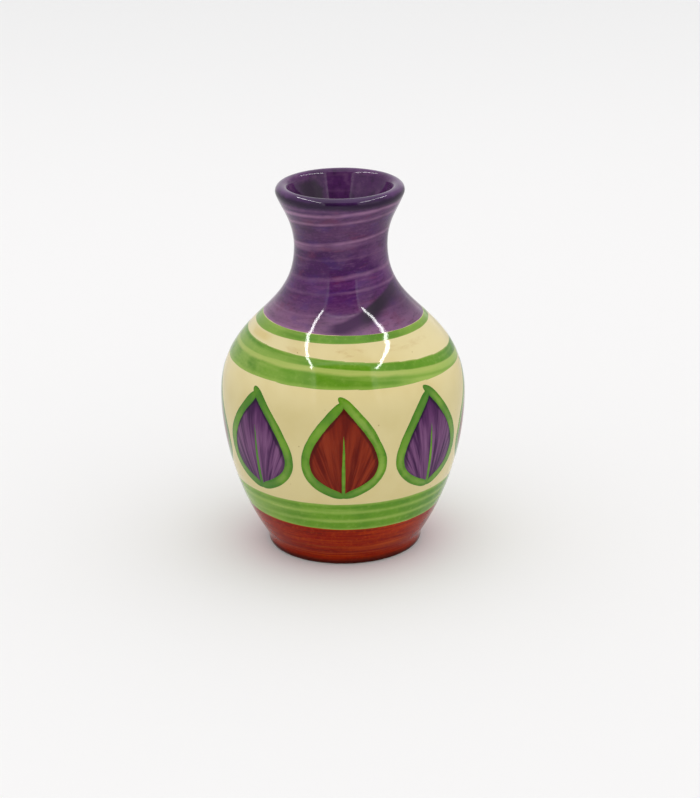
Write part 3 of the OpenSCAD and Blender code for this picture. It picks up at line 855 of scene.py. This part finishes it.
# The row of leaves on the belly, each with a lean and a width of its own
leafRow = {"low": 15.5, "high": 36.4, "width": 16.15, "stroke": 1.85, "overrun": 0.04, "rib": 1.1, "ribShare": 0.74,
           "footInset": 0.58, "tipInset": 0.8, "strokeWobble": 0.6, "fieldWobble": 0.3, "strokeFilm": 1.2,
           "fieldFilm": 0.8, "taper": 0.5, "leans": (0.02, -0.03, 0.01, 0.035, -0.02, 0.03, -0.035, 0.015),
           "extra": (0.0, -0.3, 0.2, -0.1, 0.2, 0.0, -0.25, 0.15)}
stroke = leafRow["stroke"] * mm
leafLow = lengthAt(leafRow["low"]) + leafRow["footInset"] * stroke
leafHigh = lengthAt(leafRow["high"]) - leafRow["tipInset"] * stroke
for place, (lean, extra) in enumerate(zip(leafRow["leans"], leafRow["extra"])):
    kind = ("red", "purple")[place % 2]
    shared = {"Turn": place * 2 * math.pi / len(leafRow["leans"]), "Low": leafLow, "High": leafHigh, "Lean": lean,
              "Width": (leafRow["width"] + extra) * mm - stroke, "Under": under, "Base": base,
              "Taper": leafRow["taper"] * mm}
    makePiece(f"{kind}_leaf_{place // 2 + 1}", leaf, wallLine, {
        **shared, "Wobble": leafRow["fieldWobble"] * mm, "Seed": 30.0 + place, "Film": leafRow["fieldFilm"] * film},
        kind + "Leaf")
    makePiece(f"leaf_outline_{place + 1}", outline, wallLine, {
        **shared, "Stroke": stroke, "Overrun": leafRow["overrun"], "Rib": leafRow["rib"] * mm,
        "Rib Share": leafRow["ribShare"], "Wobble": leafRow["strokeWobble"] * mm, "Seed": 50.0 + place,
        "Film": leafRow["strokeFilm"] * film}, "outline")
print("leaves made:", len(leafRow["leans"]))

# A pale floor, which the glaze mirrors less at the sides
floorLook = {"reach": 2.0, "near": tone(242, 241, 241), "cloud": tone(244, 243, 243), "far": tone(232, 232, 232),
             "farFrom": (0.15, 0.65), "dimFrom": (0.02, 0.09), "rightDim": 0.4, "leftDim": 0.2, "rough": 0.9}


def sideDim(g, x, look):
    start, end = look["dimFrom"]
    return look["rightDim"] * g.ease(x, start, end) + look["leftDim"] * g.ease(x, -start, -end)


def makeFloor():
    reach = floorLook["reach"]
    mesh = bpy.data.meshes.new("floor")
    corners = [(-reach, -reach, 0), (reach, -reach, 0), (reach, reach, 0), (-reach, reach, 0)]
    mesh.from_pydata(corners, [], [(0, 1, 2, 3)])
    floor = addObject("floor", mesh)
    made = bpy.data.materials.new("paleFloor")
    g = emptyGraph(made)
    place = g.node("ShaderNodeTexCoord", out="Object")
    x, y = g.split(place)[:2]
    gloss = g.node("ShaderNodeLightPath", out="Is Glossy Ray")
    colour = g.blend(g.noise(place, 3.0, 1.0), floorLook["near"], floorLook["cloud"])
    # Darker further back: painted shade on the floor.
    colour = g.layer(colour, floorLook["far"], y, *floorLook["farFrom"])
    colour = g.blend(gloss * sideDim(g, x, floorLook), colour, tone(0, 0, 0))
    shader = g.node("ShaderNodeBsdfPrincipled", None, {"Base Color": colour, "Roughness": floorLook["rough"]})
    g.node("ShaderNodeOutputMaterial", None, {"Surface": shader}, out=None)
    mesh.materials.append(made)


# A white tent with a brighter top, and an opening to the front whose edges glow, by parts of a direction
tent = {"light": 0.9, "top": 0.5, "topFrom": (0.75, 0.92), "toRight": 0.1, "leftLean": 0.07, "rightLean": 0.2,
        "opening": ((-0.455, -0.425), (0.575, 0.545)), "sideGlow": ((-0.53, -0.49), (0.645, 0.61)),
        "upperGlow": ((-0.46, -0.4), (0.58, 0.52)), "front": (-0.1, -0.2), "low": (0.18, 0.22),
        "high": (0.875, 0.845), "bow": 0.46, "glowHeight": 0.88, "glowWidth": 0.016, "upperShare": 1.3,
        "glow": 0.8, "shade": 0.97, "dimFrom": (0.3, 0.55), "dimBack": (-0.4, -0.15), "rightDim": 0.4, "leftDim": 0.2}


def makeTent():
    world = bpy.data.worlds.new("tent")
    bpy.context.scene.world = world
    g = emptyGraph(world)
    x, y, z = g.split(g.node("ShaderNodeTexCoord", out="Generated"))
    gloss = g.node("ShaderNodeLightPath", out="Is Glossy Ray")  # the opening is seen only in the glaze
    fromLeft, fromRight = x - tent["leftLean"] * z, x + tent["rightLean"] * z
    forward = g.ease(y, *tent["front"])
    front, beside, over = (g.ease(fromLeft, *tent[part][0]) * g.ease(fromRight, *tent[part][1]) * forward
                           for part in ("opening", "sideGlow", "upperGlow"))
    arch = z + tent["bow"] * x * x  # the same along a level edge
    below = g.ease(arch, *tent["high"])
    opening = front * below * g.ease(z, *tent["low"], 0.5)
    sides = beside * (1.0 - front) * below * g.ease(z, *tent["low"])
    glow = sides + over * g.ease(abs(arch - tent["glowHeight"]), tent["glowWidth"], 0.0) * tent["upperShare"]
    dim = sideDim(g, x, tent) * g.ease(y, *tent["dimBack"]) * (1.0 - opening)
    lit = (tent["light"] + tent["top"] * g.ease(z, *tent["topFrom"])) * (1.0 + tent["toRight"] * x)
    strength = lit * (1.0 + gloss * (tent["glow"] * glow - tent["shade"] * opening - dim))
    sky = g.node("ShaderNodeBackground", None, {"Color": (1.0, 1.0, 1.0, 1.0), "Strength": strength})
    g.node("ShaderNodeOutputWorld", None, {"Surface": sky}, out=None)


def stripLight(name, start, end, target, width, glow):  # a long thin lamp between two points
    a, b = Vector(start), Vector(end)
    middle = (a + b) / 2
    along = (b - a).normalized()
    back = (middle - Vector(target)).normalized()
    across = along.cross(back).normalized()
    back = across.cross(along)
    data = bpy.data.lights.new(name, "AREA")
    data.shape = "RECTANGLE"
    data.size = width
    data.size_y = (b - a).length
    data.energy = math.pi * glow * width * data.size_y
    lamp = addObject(name, data)
    lamp.visible_diffuse = False  # it shows only in the gloss
    lamp.matrix_world = Matrix.Translation(middle) @ Matrix((across, along, back)).transposed().to_4x4()


lamps = {"width": 0.02, "target": (0.0, 0.0, 0.045), "glow": 34.0,
         "rightStrip": {"start": (0.294, -0.31, 0.495), "end": (0.385, 0.26, 0.495)},
         "leftStrip": {"start": (-0.256, -0.292, 0.495), "end": (-0.272, 0.28, 0.495)}}
view = {"elevation": 19.44, "distance": 0.4902, "target": (0.0, 0.0, 0.035), "focalPixels": 2605.2, "sensor": 36.0,
        "targetPixel": (342.49, 362.7), "frame": (700, 798), "roll": 0.869}


def lightsAndCamera():
    for name in ("rightStrip", "leftStrip"):
        lamp = lamps[name]
        stripLight(name, lamp["start"], lamp["end"], lamps["target"], lamps["width"], lamps["glow"])
    elevation = math.radians(view["elevation"])
    longSide = max(view["frame"])
    data = bpy.data.cameras.new("camera")
    data.sensor_width = view["sensor"]
    data.lens = view["focalPixels"] * view["sensor"] / longSide
    data.shift_x = (0.5 * view["frame"][0] - view["targetPixel"][0]) / longSide
    data.shift_y = (view["targetPixel"][1] - 0.5 * view["frame"][1]) / longSide
    camera = addObject("camera", data)
    back = Vector((0.0, -math.cos(elevation), math.sin(elevation)))
    right = Vector((1.0, 0.0, 0.0))
    turn = Matrix((right, back.cross(right), back)).transposed().to_4x4()
    place = Vector(view["target"]) + back * view["distance"]
    camera.matrix_world = Matrix.Translation(place) @ turn @ Matrix.Rotation(math.radians(-view["roll"]), 4, "Z")
    bpy.context.scene.camera = camera


makeFloor()
makeTent()
lightsAndCamera()
bpy.context.scene.view_settings.view_transform = "Standard"
print("stage, lights and camera set")
